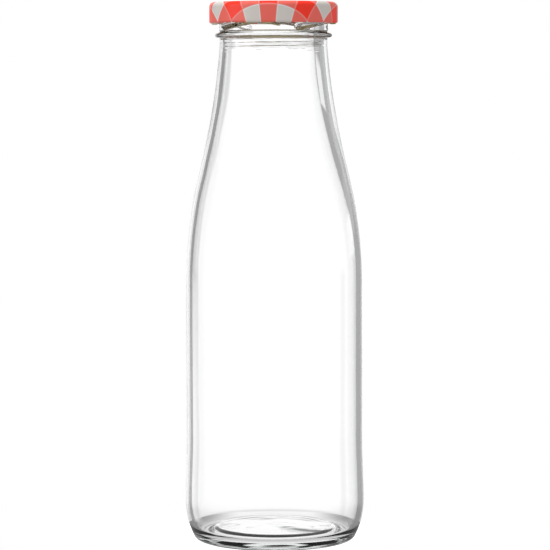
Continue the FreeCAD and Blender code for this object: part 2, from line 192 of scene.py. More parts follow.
# Waves that blowing leaves on the inside of the glass, strongest in the neck and calm at the lip
BROAD_WAVE = 24.0 * MM
BROAD_WAVE_RISE = 0.4
BROAD_WAVE_DEPTH = 0.04 * MM
NECK_WAVE_DEPTH = 0.16 * MM
FINE_WAVE = 9.0 * MM
FINE_WAVE_RISE = 0.8
FINE_WAVE_DEPTH = 0.05 * MM
NECK_WAVE_LOW = 118.0 * MM
NECK_WAVE_HIGH = 216.0 * MM
LIP_CALM = 6.0 * MM

# Wave that the neck ring leaves inside the front of the neck, just under the transfer bead
SETTLE_LOW = NECK_BOTTOM - 2.85 * MM
SETTLE_HIGH = NECK_BOTTOM + 3.9 * MM
SETTLE_LENGTH = 1.55 * MM
SETTLE_DEPTH = 0.16 * MM
SETTLE_TILT = 0.35 * MM
SETTLE_TILT_ANGLE = 0.6
SETTLE_BREAK = 0.9
SETTLE_BREAK_TURN = 3.5
SETTLE_BREAK_HEIGHT = 1.2 * MM

# Glass gathered in the neck, whose inside is narrower and off centre there
GATHER_LOW = 150.0 * MM
GATHER_FULL = 178.0 * MM
GATHER_END = 207.5 * MM
GATHER_TOP = 212.5 * MM
GATHER_DEPTH = 0.8 * MM
SHIFT_LOW = 112.0 * MM
SHIFT = 0.9 * MM

# Ripples on the floor of the bottle, each cut from the noise at its own level
RIPPLE_DEPTH = 0.42 * MM
RIPPLE_LENGTH = 17.0 * MM
RIPPLE_LEVEL = 20.0 * MM
SMALL_RIPPLE_SHARE = 0.25
SMALL_RIPPLE_LENGTH = 7.0 * MM
SMALL_RIPPLE_LEVEL = 50.0 * MM
RIPPLE_REACH = 29.0 * MM
RIPPLE_FADE = 5.0 * MM
RIPPLE_TOP = 1.5 * FLOOR_TOP

# Mesh: points round a turn, and the spacing of points along the outlines
SEGMENTS = 216
BARREL_SPACING = 3.2 * MM
SHOULDER_SPACING = 2.4 * MM
INSIDE_SHOULDER_SPACING = 2.0 * MM
HEEL_EASE_SPACING = 1.0 * MM
HEEL_SPACING = 0.8 * MM
PUSH_UP_SPACING = 2.0 * MM
BEARING_SPACING = 0.9 * MM
FLOOR_SPACING = 1.2 * MM
SLOPE_SPACING = 0.4 * MM
NECK_SPACING = 0.7 * MM
FILLET_SPACING = 0.12 * MM
UNDER_BEAD_SPACING = 0.25 * MM
BEAD_SPACING = 0.16 * MM
GROOVE_SPACING = 0.1 * MM
FINISH_SPACING = 0.2 * MM
LIP_SPACING = 0.4 * MM
BORE_SPACING = 0.5 * MM
SETTLE_SPACING = 0.15 * MM
PANEL_SPACING = 2.0 * MM
PANEL_SLOPE_SPACING = 0.13 * MM
CHANNEL_SPACING = 0.8 * MM
LID_CORNER_SPACING = 0.2 * MM
SKIRT_SPACING = 0.4 * MM
INSIDE_SKIRT_SPACING = 0.6 * MM
CURL_SPACING = 0.14 * MM
LINER_SPACING = 0.3 * MM
LINER_CORNER_SPACING = 0.15 * MM
LINER_EDGE_SPACING = 0.06 * MM

# Usual range of a noise texture, over which a value follows it
GRAIN_LOW = 0.3
GRAIN_HIGH = 0.7

# Floor of the scene, and the painted shadow on it that glass sees: a grey ring round the front and the
# sides of the base
STAGE_RADIUS = 50.0 * MM
STAGE_SIDES = 96
STAGE_DROP = 0.02 * MM
STAGE_GLOW = 0.55
SHADE_INNER = 20.0 * MM
SHADE_OUTER = 38.0 * MM
SHADE_DEPTH = 0.72
SHADE_SIDE_START = 14.0 * MM
SHADE_SIDE_FULL = 34.0 * MM
SHADE_FRONT_FULL = -10.0 * MM
SHADE_FRONT_END = 10.0 * MM

# Lamp, and the plain light of the world
LAMP_PLACE = Vector((-0.25, -0.10, 0.95))
LAMP_TARGET = Vector((0.0, 0.0, 0.15))
LAMP_SIZE = 0.6
LAMP_POWER = 5.9
PLAIN_LIGHT = 0.7

# Room that glass and gloss see. Angles are in degrees, to the right of the photograph's view or up.
# A card has two edges, the softness of its edges and its strength.
ROOM_LIGHT = 1.14
CEILING_LIGHT = 0.7
CEILING_START = 12.0
CEILING_FULL = 40.0
GROUND_CARD = (-20.0, -10.5, 2.5, 0.28)

# Grey cards for light that has crossed both walls of the bottle, some of them for low light only
LEFT_CARD = (-45.0, -12.0, 1.2, 0.32)
LEFT_LOW_CARD = (-45.0, -11.0, 1.0, 0.11)
THIN_LOW_CARD = (6.5, 8.5, 0.8, 0.14)
RIGHT_LOW_CARD = (18.0, 60.0, 2.0, 0.26)
BARREL_LIGHT_FULL = -4.2
BARREL_LIGHT_END = -2.8
SHOULDER_LIGHT_FULL = -2.2
SHOULDER_LIGHT_END = -0.8

# Grey cards for light that has crossed one wall or none, and a window between them
WALL_CARDS = [
    (12.0, 182.0, 2.5, 0.72),
    (-30.0, -9.0, 2.0, 0.12),
    (-39.0, -29.0, 1.5, 0.85),
    (-182.0, -60.0, 2.0, 0.80),
]
HIGH_WALL_CARD = (-56.0, -39.0, 1.5, 0.85)
HIGH_WALL_START = -7.5
HIGH_WALL_FULL = -2.0
WINDOW = (39.0, 55.0, 2.0, 0.55)
WINDOW_RISE = (1.2, 9.2, 0.7, 1.0)

# Softbox that only gloss sees
SOFTBOX = (-132.0, -92.0, 8.0, 3.0)
SOFTBOX_RISE = (-1.0, 40.0, 2.0, 1.0)

# Counts of crossed glass faces between which light changes from gloss, and from one wall to both
GLOSS_FACES = (0.4, 0.6)
WALL_FACES = (2.4, 3.6)


# Shares and curves

def clamp(share):
    """A share kept between nothing and one."""
    return min(max(share, 0.0), 1.0)


def smooth(share):
    """A share eased at both ends."""
    return share * share * (3 - 2 * share)


def smooth_step(value, low, high):
    """A smooth rise from nothing at the low value to one at the high value."""
    return smooth(clamp((value - low) / (high - low)))


def hill(value, low, high):
    """A smooth hill between two values, one high at its middle."""
    return math.sin(math.pi * clamp((value - low) / (high - low))) ** 2


def signed_power(value, power):
    """A power of a value's size, with its sign kept."""
    return math.copysign(abs(value) ** power, value)


# Outlines, as points of radius and height

def line_points(start, end, spacing):
    """Points of a line about a spacing apart, without its end point."""
    count = max(1, round(math.dist(start, end) / spacing))
    shares = [i / count for i in range(count)]
    return [(start[0] + (end[0] - start[0]) * s, start[1] + (end[1] - start[1]) * s) for s in shares]


def arc_points(centre, radius, first, last, spacing):
    """Points of an arc between two angles, about a spacing apart, without its end point."""
    count = max(2, round(abs(last - first) * radius / spacing))
    angles = [first + (last - first) * i / count for i in range(count)]
    return [(centre[0] + radius * math.cos(a), centre[1] + radius * math.sin(a)) for a in angles]


def ease_points(start, end, spacing):
    """Points of a smooth step in radius between two heights, without its end point."""
    count = max(2, round(math.dist(start, end) / spacing))
    shares = [i / count for i in range(count)]
    return [
        (start[0] + (end[0] - start[0]) * smooth(s), start[1] + (end[1] - start[1]) * s) for s in shares
    ]


def slope_points(start, end, spacing):
    """Points of a smooth step in height between two radii, without its end point."""
    return [(r, z) for z, r in ease_points(start[::-1], end[::-1], spacing)]


def flare_points(barrel_radius, shoulder, neck, flare, spacing):
    """Outline from the barrel's top over the shoulder's arc and the neck's, without its end point."""
    low = Vector((barrel_radius - shoulder, BARREL_TOP))
    across = Vector(neck) - low
    reach = shoulder + flare
    along = (reach**2 - flare**2 + across.length**2) / (2 * across.length)
    forward = across.normalized()
    right = Vector((forward.y, -forward.x))
    high = low + forward * along + right * math.sqrt(reach**2 - along**2)
    meeting = math.atan2(high.y - low.y, high.x - low.x)
    neck_angle = math.atan2(neck[1] - high.y, neck[0] - high.x) % FULL_TURN
    points = arc_points(low, shoulder, 0.0, meeting, spacing)
    return points + arc_points(high, flare, meeting + math.pi, neck_angle, spacing)


def heel_points(radius, base, corner_radius):
    """Outline from a base height round the corner arc and the heel's large arc, up to the heel's top."""
    centre = (HEEL_RADIUS - HEEL_ROUND, HEEL_HEIGHT)
    drop = HEEL_HEIGHT - base - corner_radius
    across = math.sqrt((radius - corner_radius) ** 2 - drop**2)
    corner = (centre[0] + across, base + corner_radius)
    meeting = math.atan2(-drop, across)
    small = arc_points(corner, corner_radius, -QUARTER_TURN, meeting, HEEL_SPACING / 2)
    return small + arc_points(centre, radius, meeting, 0.0, HEEL_SPACING)


def dome_points(crown, edge, spacing):
    """Outline of a dome from its crown on the axis out to its edge, without the edge."""
    rise = crown - edge[1]
    radius = (edge[0] ** 2 + rise**2) / (2 * rise)
    half = math.asin(edge[0] / radius)
    return arc_points((0.0, crown - radius), radius, QUARTER_TURN, QUARTER_TURN - half, spacing)


def refined(points, low, high, spacing):
    """The same outline with more points between two heights."""
    fine = []
    for start, end in zip(points, points[1:]):
        within = low < (start[1] + end[1]) / 2 < high
        fine += line_points(start, end, spacing) if within else [start]
    return fine + points[-1:]


def base_and_barrel_points():
    """Outline of the outside of the glass from the middle of the base to the foot of the neck."""
    push_up_edge = (PUSH_UP_EDGE - BASE_EASE, PUSH_UP_HEIGHT)
    bearing_edge = (BEARING_INNER + BASE_EASE, 0.0)
    heel_top = (HEEL_RADIUS, HEEL_HEIGHT)
    barrel_foot = (BODY_RADIUS, HEEL_EASE_TOP)
    neck_foot = (NECK_RADIUS, NECK_BOTTOM)
    points = dome_points(PUSH_UP_TOP, push_up_edge, PUSH_UP_SPACING)
    points += slope_points(push_up_edge, bearing_edge, SLOPE_SPACING)
    points += line_points(bearing_edge, (BEARING_OUTER, 0.0), BEARING_SPACING)
    points += heel_points(HEEL_ROUND, 0.0, HEEL_CORNER_RADIUS)
    points += ease_points(heel_top, barrel_foot, HEEL_EASE_SPACING)
    points += line_points(barrel_foot, (BODY_RADIUS, BARREL_TOP), BARREL_SPACING)
    points += flare_points(BODY_RADIUS, SHOULDER_RADIUS, neck_foot, NECK_FLARE_RADIUS, SHOULDER_SPACING)
    return points


def neck_and_finish_points():
    """Outline of the outside of the glass from the foot of the neck over the bead to the lip."""
    bead_under = BEAD_HEIGHT - BEAD_ROUND
    neck_top = (NECK_RADIUS, bead_under - NECK_FILLET)
    fillet = (NECK_RADIUS + NECK_FILLET, bead_under - NECK_FILLET)
    fillet_end = (NECK_RADIUS + NECK_FILLET, bead_under)
    bead = (BEAD_CENTRE, BEAD_HEIGHT)
    bead_over = (
        BEAD_CENTRE + BEAD_ROUND * math.cos(BEAD_SLOPE),
        BEAD_HEIGHT + BEAD_ROUND * math.sin(BEAD_SLOPE),
    )
    finish_bottom = bead_over[1] + (bead_over[0] - FINISH_RADIUS) / math.tan(BEAD_SLOPE)
    groove = (FINISH_RADIUS - GROOVE_DEPTH, finish_bottom - GROOVE_DROP)
    wall_foot = (FINISH_RADIUS, groove[1] + GROOVE_DEPTH)
    wall_top = (FINISH_RADIUS, LIP_HEIGHT - LIP_ROUND)
    lip = (FINISH_RADIUS - LIP_ROUND, LIP_HEIGHT - LIP_ROUND)
    points = line_points((NECK_RADIUS, NECK_BOTTOM), neck_top, NECK_SPACING)
    points += arc_points(fillet, NECK_FILLET, math.pi, QUARTER_TURN, FILLET_SPACING)
    points += line_points(fillet_end, (BEAD_CENTRE, bead_under), UNDER_BEAD_SPACING)
    points += arc_points(bead, BEAD_ROUND, -QUARTER_TURN, BEAD_SLOPE, BEAD_SPACING)
    points += line_points(bead_over, groove, FINISH_SPACING)
    points += line_points(groove, wall_foot, GROOVE_SPACING)
    points += line_points(wall_foot, wall_top, FINISH_SPACING)
    points += arc_points(lip, LIP_ROUND, 0.0, QUARTER_TURN, FINISH_SPACING)
    return points


def inside_points():
    """Outline of the inside of the glass, from the lip to the middle of the floor."""
    lip_outer = (FINISH_RADIUS - LIP_ROUND, LIP_HEIGHT)
    lip_inner = (BORE_RADIUS + LIP_ROUND, LIP_HEIGHT)
    lip = (BORE_RADIUS + LIP_ROUND, LIP_HEIGHT - LIP_ROUND)
    bore_top = (BORE_RADIUS, LIP_HEIGHT - LIP_ROUND)
    bore_end = (BORE_RADIUS, BORE_BOTTOM)
    barrel_foot = (INSIDE_RADIUS, HEEL_EASE_TOP)
    heel_top = (INSIDE_HEEL, HEEL_HEIGHT)
    moat_edge = (MOAT_EDGE + BASE_EASE, MOAT_HEIGHT)
    floor_edge = (FLOOR_EDGE - BASE_EASE, FLOOR_HEIGHT)
    shoulder = flare_points(
        INSIDE_RADIUS, INSIDE_SHOULDER_RADIUS, bore_end, INSIDE_FLARE_RADIUS, INSIDE_SHOULDER_SPACING
    )
    heel = heel_points(HEEL_ROUND - WALL, MOAT_HEIGHT, INSIDE_CORNER_RADIUS)
    floor = dome_points(FLOOR_TOP, floor_edge, FLOOR_SPACING)
    points = line_points(lip_outer, lip_inner, LIP_SPACING)
    points += arc_points(lip, LIP_ROUND, QUARTER_TURN, math.pi, FINISH_SPACING)
    points += line_points(bore_top, bore_end, BORE_SPACING)
    points += [bore_end] + shoulder[:0:-1]
    points = refined(points, SETTLE_LOW, SETTLE_HIGH, SETTLE_SPACING)
    points += line_points((INSIDE_RADIUS, BARREL_TOP), barrel_foot, BARREL_SPACING)
    points += ease_points(barrel_foot, heel_top, HEEL_EASE_SPACING)
    points += [heel_top] + heel[::-1]
    points += slope_points(moat_edge, floor_edge, SLOPE_SPACING)
    points += [floor_edge] + floor[:0:-1]
    return points + [(0.0, FLOOR_TOP)]


def shell_points():
    """Outlines of the lid's sheet: out over the panel and down to the curl's end, then back inside."""
    panel_top = LID_TOP - PANEL_STEP
    channel_top = LID_TOP - SHEET
    panel_under = panel_top - SHEET
    skirt_inner = LID_RADIUS - SHEET
    corner = (LID_CORNER, SKIRT_TOP)
    curl = (LID_RADIUS - CURL_RADIUS, RIM_HEIGHT + CURL_RADIUS)
    outer = line_points((0.0, panel_top), (PANEL_RADIUS, panel_top), PANEL_SPACING)
    outer += slope_points((PANEL_RADIUS, panel_top), (SLOPE_TOP, LID_TOP), PANEL_SLOPE_SPACING)
    outer += line_points((SLOPE_TOP, LID_TOP), (LID_CORNER, LID_TOP), CHANNEL_SPACING)
    outer += arc_points(corner, LID_CORNER_RADIUS, QUARTER_TURN, 0.0, LID_CORNER_SPACING)
    outer += line_points((LID_RADIUS, SKIRT_TOP), (LID_RADIUS, curl[1]), SKIRT_SPACING)
    outer += arc_points(curl, CURL_RADIUS, 0.0, -CURL_TURN, CURL_SPACING)
    inner = arc_points(curl, CURL_RADIUS - SHEET, -CURL_TURN, 0.0, CURL_SPACING)
    inner += line_points((skirt_inner, curl[1]), (skirt_inner, SKIRT_TOP), INSIDE_SKIRT_SPACING)
    inner += arc_points(corner, LID_CORNER_RADIUS - SHEET, 0.0, QUARTER_TURN, LID_CORNER_SPACING)
    inner += line_points((LID_CORNER, channel_top), (SLOPE_TOP, channel_top), CHANNEL_SPACING)
    inner += slope_points((SLOPE_TOP, channel_top), (PANEL_RADIUS, panel_under), PANEL_SLOPE_SPACING)
    inner += line_points((PANEL_RADIUS, panel_under), (0.0, panel_under), PANEL_SPACING)
    inner.append((0.0, panel_under))
    return outer, inner


def liner_points():
    """Closed outline of the sealing liner, which fills the lid's channel out to its corner."""
    radius = LID_CORNER_RADIUS - SHEET - LINER_GAP
    drop = LINER_BOTTOM - SKIRT_TOP
    across = math.sqrt(radius**2 - drop**2)
    inner = LINER_INNER + LINER_EDGE
    low_edge = (inner, LINER_BOTTOM + LINER_EDGE)
    high_edge = (inner, LINER_TOP - LINER_EDGE)
    corner = (LID_CORNER, SKIRT_TOP)
    points = arc_points(low_edge, LINER_EDGE, math.pi, math.pi + QUARTER_TURN, LINER_EDGE_SPACING)
    points += line_points((inner, LINER_BOTTOM), (LID_CORNER + across, LINER_BOTTOM), LINER_SPACING)
    points += arc_points(corner, radius, math.atan2(drop, across), QUARTER_TURN, LINER_CORNER_SPACING)
    points += line_points((LID_CORNER, LINER_TOP), (inner, LINER_TOP), CHANNEL_SPACING)
    points += arc_points(high_edge, LINER_EDGE, QUARTER_TURN, math.pi, LINER_EDGE_SPACING)
    return points


# Meshes

def turned(r, z, angle):
    """Point at a radius and a height, at an angle round the axis."""
    return (r * math.cos(angle), r * math.sin(angle), z)


def new_piece(name, vertices, faces, body, node):
    """A smooth mesh object that rides on a body in place of its CAD node."""
    mesh = bpy.data.meshes.new(name)
    mesh.from_pydata(vertices, [], faces)
    mesh.update()
    mesh.shade_smooth()
    piece = bpy.data.objects.new(name, mesh)
    bpy.context.scene.collection.objects.link(piece)
    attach(piece, body)
    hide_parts(node)
    return piece


def row_size(row):
    """Number of vertices of a row of a turned form: one on the axis, a whole ring elsewhere."""
    return 1 if row[0] < ON_AXIS else SEGMENTS


def lathe(rows, place, closed):
    """Vertices and faces of a turned form.

    A row starts with its radius and height, and place gives its point at an angle. A closed form
    joins its last row to its first.
    """
    vertices, faces, rings = [], [], []
    for row in rows:
        first = len(vertices)
        if row_size(row) == 1:
            vertices.append((0.0, 0.0, row[1]))
            rings.append([first] * SEGMENTS)
        else:
            vertices += [place(row, FULL_TURN * i / SEGMENTS) for i in range(SEGMENTS)]
            rings.append(list(range(first, first + SEGMENTS)))
    followers = rings[1:] + rings[:1] if closed else rings[1:]
    for lower, upper in zip(rings, followers):
        for i in range(SEGMENTS):
            j = (i + 1) % SEGMENTS
            corners = [lower[i], lower[j], upper[j], upper[i]]
            faces.append([corner for at, corner in enumerate(corners) if corner != corners[at - 1]])
    return vertices, faces


def ridge_height(angle, z):
    """How far a thread ridge stands out of the finish at an angle and a height."""
    height = 0.0
    slope = RIDGE_LEAD / (FULL_TURN * FINISH_RADIUS)
    length = FINISH_RADIUS * RIDGE_SPAN
    rise = z - RIDGE_START
    for start in range(RIDGE_COUNT):
        start_angle = RIDGE_START_ANGLE + start * FULL_TURN / RIDGE_COUNT
        turn = (angle - start_angle + QUARTER_TURN) % FULL_TURN - QUARTER_TURN
        along = FINISH_RADIUS * turn
        reach = min(max((along + rise * slope) / (1 + slope * slope), 0.0), length)
        distance = math.hypot(along - reach, rise - reach * slope) / RIDGE_HALF_WIDTH
        if distance < 1:
            share = (1 + math.cos(math.pi * distance)) / 2
            height = max(height, RIDGE_DEPTH * share**RIDGE_SHARPNESS)
    return height


def settle_wave(z, angle):
    """How far the settle wave stands into the front of the neck, broken and slightly tilted."""
    level = z - SETTLE_TILT * math.cos(angle - SETTLE_TILT_ANGLE)
    around = Vector((math.cos(angle), math.sin(angle), 0.0))
    height = Vector((0.0, 0.0, level / SETTLE_BREAK_HEIGHT))
    broken = noise.noise(SETTLE_BREAK_TURN * around + height)
    strength = max(0.0, -around.y) * (1.0 + SETTLE_BREAK * broken)
    wave = math.sin(FULL_TURN * (level - SETTLE_LOW) / SETTLE_LENGTH)
    return SETTLE_DEPTH * strength * wave * hill(level, SETTLE_LOW, SETTLE_HIGH)


def floor_ripple(x, y):
    """How far the floor of the bottle stands up at a place."""
    large = noise.noise(Vector((-x, y, RIPPLE_LEVEL)) / RIPPLE_LENGTH)
    small = noise.noise(Vector((-x, y, SMALL_RIPPLE_LEVEL)) / SMALL_RIPPLE_LENGTH)
    return RIPPLE_DEPTH * (large + SMALL_RIPPLE_SHARE * small)


def uneven_inside(r, z, angle):
    """Point of the inside face: wavy, narrower and off centre in the neck, and rippled on the floor."""
    x, y, _ = turned(r, z, angle)
    broad = noise.noise(Vector((x, y, BROAD_WAVE_RISE * z)) / BROAD_WAVE)
    fine = noise.noise(Vector((x, y, FINE_WAVE_RISE * z)) / FINE_WAVE)
    in_neck = hill(z, NECK_WAVE_LOW, NECK_WAVE_HIGH)
    below_lip = 1 - smooth_step(z, GATHER_END, GATHER_TOP)
    calm = clamp((LIP_HEIGHT - z) / LIP_CALM)
    r += (BROAD_WAVE_DEPTH + in_neck * NECK_WAVE_DEPTH) * broad * calm
    r += in_neck * FINE_WAVE_DEPTH * fine - settle_wave(z, angle)
    r -= GATHER_DEPTH * smooth_step(z, GATHER_LOW, GATHER_FULL) * below_lip
    x, y, _ = turned(r, z, angle)
    x -= SHIFT * smooth_step(z, SHIFT_LOW, GATHER_FULL) * below_lip
    if z < RIPPLE_TOP:
        z += clamp((RIPPLE_REACH - r) / RIPPLE_FADE) * floor_ripple(x, y)
    return (x, y, z)


def make_bottle():
    """The glass: a turned form with the thread ridges raised on its finish and an uneven inside."""
    outside = base_and_barrel_points() + neck_and_finish_points()
    rows = [(r, z, True) for r, z in outside] + [(r, z, False) for r, z in inside_points()]
    ridge_foot = RIDGE_START - 2 * RIDGE_HALF_WIDTH
    ridge_inner = FINISH_RADIUS - LIP_ROUND / 2

    def place(row, angle):
        r, z, is_outside = row
        if not is_outside:
            return uneven_inside(r, z, angle)
        may_rise = z > ridge_foot and r >= ridge_inner
        height = ridge_height(angle, z) if may_rise else 0.0
        return turned(max(r, FINISH_RADIUS + height) if height > 0 else r, z, angle)

    vertices, faces = lathe(rows, place, closed=False)
    piece = new_piece("glass_bottle", vertices, faces, "bottle", "bottle")
    piece.data.materials.append(glass_material())


def lug_mesh(first_vertex, middle_angle):
    """Vertices and faces of one lug: a rounded tongue along the thread's helix, drawn in at both ends."""
    vertices, faces = [], []
    for length in range(LUG_LENGTHS + 1):
        share = length / LUG_LENGTHS
        angle = middle_angle + LUG_SPAN * (share - 0.5)
        middle = RIM_HEIGHT + LUG_THICKNESS / 2 + RIDGE_LEAD * LUG_SPAN * (share - 0.5) / FULL_TURN
        taper = math.sqrt(max(0.0, 1 - abs(2 * share - 1) ** LUG_END_POWER))
        width = (LUG_OUTER - LUG_INNER) * (LUG_END_WIDTH + (1 - LUG_END_WIDTH) * taper)
        thickness = LUG_THICKNESS * (LUG_END_THICKNESS + (1 - LUG_END_THICKNESS) * taper)
        for side in range(LUG_SIDES):
            turn = FULL_TURN * side / LUG_SIDES
            across = signed_power(math.cos(turn), LUG_POWER_ACROSS)
            up = signed_power(math.sin(turn), LUG_POWER_UP)
            r = LUG_OUTER - width / 2 + across * width / 2
            vertices.append(turned(r, middle + up * thickness / 2, angle))
    rings = [
        [first_vertex + length * LUG_SIDES + side for side in range(LUG_SIDES)]
        for length in range(LUG_LENGTHS + 1)
    ]
    for near, far in zip(rings, rings[1:]):
        for i in range(LUG_SIDES):
            j = (i + 1) % LUG_SIDES
            faces.append([near[i], far[i], far[j], near[j]])
    faces.append(rings[0])
    faces.append(rings[-1][::-1])
    return vertices, faces


def blank_radii(outline):
    """Radius in the flat printed blank of each point of the pressed outline, by equal areas."""
    radii, area = [0.0], 0.0
    for start, end in zip(outline, outline[1:]):
        area += (start[0] + end[0]) * math.dist(start, end)
        radii.append(math.sqrt(area))
    return radii


def lay_print(mesh, outer, inner):
    """Map the flat print onto the lid's outside, and give its inside and its lugs the other material."""
    radii = blank_radii(outer) + [0.0] * len(inner)
    row_of = [at for at, row in enumerate(outer + inner) for _ in range(row_size(row))]
    uv = mesh.uv_layers.new(name="print")
    for polygon in mesh.polygons:
        is_lug = max(polygon.vertices) >= len(row_of)
        is_printed = not is_lug and max(row_of[v] for v in polygon.vertices) < len(outer)
        polygon.material_index = 0 if is_printed else 1
        if is_lug:
            continue
        for loop in polygon.loop_indices:
            vertex = mesh.loops[loop].vertex_index
            spot = mesh.vertices[vertex].co
            angle = math.atan2(spot.y, spot.x) - CHECK_TURN
            radius = radii[row_of[vertex]] / CHECK_SIZE
            uv.data[loop].uv = (radius * math.cos(angle), radius * math.sin(angle))


def make_lid():
    """The pressed lid: printed outside, gold lacquer inside, with four lugs under the thread ridges."""
    outer, inner = shell_points()
    vertices, faces = lathe(outer + inner, lambda row, angle: turned(*row, angle), closed=False)
    lug_to_ridge = RIM_HEIGHT + LUG_THICKNESS + LUG_GAP + RIDGE_ROUND - RIDGE_START
    lug_angle = RIDGE_START_ANGLE + lug_to_ridge * FULL_TURN / RIDGE_LEAD
    for start in range(RIDGE_COUNT):
        more, sides = lug_mesh(len(vertices), lug_angle + start * FULL_TURN / RIDGE_COUNT)
        vertices += more
        faces += sides
    piece = new_piece("gingham_lid", vertices, faces, "lid_shell", "lid_shell")
    piece.data.materials.append(print_material())
    piece.data.materials.append(enamel_material())
    lay_print(piece.data, outer, inner)


def make_liner():
    """The sealing liner: a soft ring with rounded edges and the lip's dent round its under face."""
    def place(row, angle):
        r, z = row
        share = abs(r - DENT_CENTRE) / DENT_HALF_WIDTH
        if math.isclose(z, LINER_BOTTOM) and share < 1:
            z += DENT_DEPTH * (1 + math.cos(math.pi * share)) / 2
        return turned(r, z, angle)

    vertices, faces = lathe(liner_points(), place, closed=True)
    piece = new_piece("liner_ring", vertices, faces, "sealing_liner", "sealing_liner")
    piece.data.materials.append(liner_material())


# Materials

class Nodes:
    """A node tree with short calls to add and link nodes."""

    def __init__(self, tree):
        self.tree = tree
        tree.nodes.clear()

    def add(self, kind, inputs=None, **settings):
        """Add a node; an input is a value or another node's output socket."""
        node = self.tree.nodes.new(kind)
        for key, value in settings.items():
            setattr(node, key, value)
        for key, value in (inputs or {}).items():
            if isinstance(value, bpy.types.NodeSocket):
                self.tree.links.new(value, node.inputs[key])
            else:
                node.inputs[key].default_value = value
        return node

    def math(self, operation, first, *others):
        """A Math node's output, or that of a row of them which takes in the other values in turn."""
        if not others:
            return self.add("ShaderNodeMath", {0: first}, operation=operation).outputs[0]
        for value in others:
            first = self.add("ShaderNodeMath", {0: first, 1: value}, operation=operation).outputs[0]
        return first

    def mix(self, factor, first, second):
        """A colour mix's output; the node's colour sockets are inputs 6 and 7 and output 2."""
        inputs = {0: factor, 6: first, 7: second}
        return self.add("ShaderNodeMix", inputs, data_type="RGBA").outputs[2]

    def ramp(self, value, low, high, to_low=0.0, to_high=1.0):
        """A smooth step's output."""
        inputs = {"Value": value, "From Min": low, "From Max": high, "To Min": to_low, "To Max": to_high}
        node = self.add("ShaderNodeMapRange", inputs, interpolation_type="SMOOTHSTEP")
        return node.outputs["Result"]

    def grain(self, place, scale, detail):
        """A noise texture's output at a place."""
        inputs = {"Vector": place, "Scale": scale, "Detail": detail}
        return self.add("ShaderNodeTexNoise", inputs).outputs[0]

    def follow(self, grain, low, high):
        """A value that goes from low to high with a grain."""
        return self.ramp(grain, GRAIN_LOW, GRAIN_HIGH, low, high)

    def relief(self, height, strength, distance):
        """A bump's normal, by a height."""
        inputs = {"Height": height, "Strength": strength, "Distance": distance}
        return self.add("ShaderNodeBump", inputs).outputs[0]

    def mirrored(self, path):
        """One for light that gloss or glass sees, by a Light Path node."""
        return self.math("MAXIMUM", path.outputs["Is Glossy Ray"], path.outputs["Is Transmission Ray"])


def linear(red, green, blue):
    """Scene colour of an sRGB colour given in 0 to 255."""
    def one(level):
        level /= 255
        return level / 12.92 if level <= 0.04045 else ((level + 0.055) / 1.055) ** 2.4
    return (one(red), one(green), one(blue), 1.0)


def new_material(name):
    """A new material and its node tree."""
    material = bpy.data.materials.new(name)
    material.use_nodes = True
    return material, Nodes(material.node_tree)


def glass_material():
    """Clear flint glass that lets lamps through and takes a little light over a long path."""
    material, nodes = new_material("flint_glass")
    place = nodes.add("ShaderNodeTexCoord").outputs["Object"]
    ripple = nodes.grain(place, scale=55.0, detail=2.0)
    glass = nodes.add(
        "ShaderNodeBsdfPrincipled",
        {
            "Base Color": WHITE,
            "Roughness": 0.0,
            "IOR": 1.5,
            "Transmission Weight": 1.0,
            "Normal": nodes.relief(ripple, strength=0.02, distance=1.0 * MM),
        },
    )
    clear = nodes.add("ShaderNodeBsdfTransparent", {"Color": (0.94, 0.94, 0.94, 1.0)})
    is_shadow = nodes.add("ShaderNodeLightPath").outputs["Is Shadow Ray"]
    shader = nodes.add("ShaderNodeMixShader", {0: is_shadow, 1: glass.outputs[0], 2: clear.outputs[0]})
    body = nodes.add("ShaderNodeVolumeAbsorption", {"Color": (0.75, 0.80, 0.78, 1.0), "Density": 12.0})
    nodes.add("ShaderNodeOutputMaterial", {"Surface": shader.outputs[0], "Volume": body.outputs[0]})
    return material


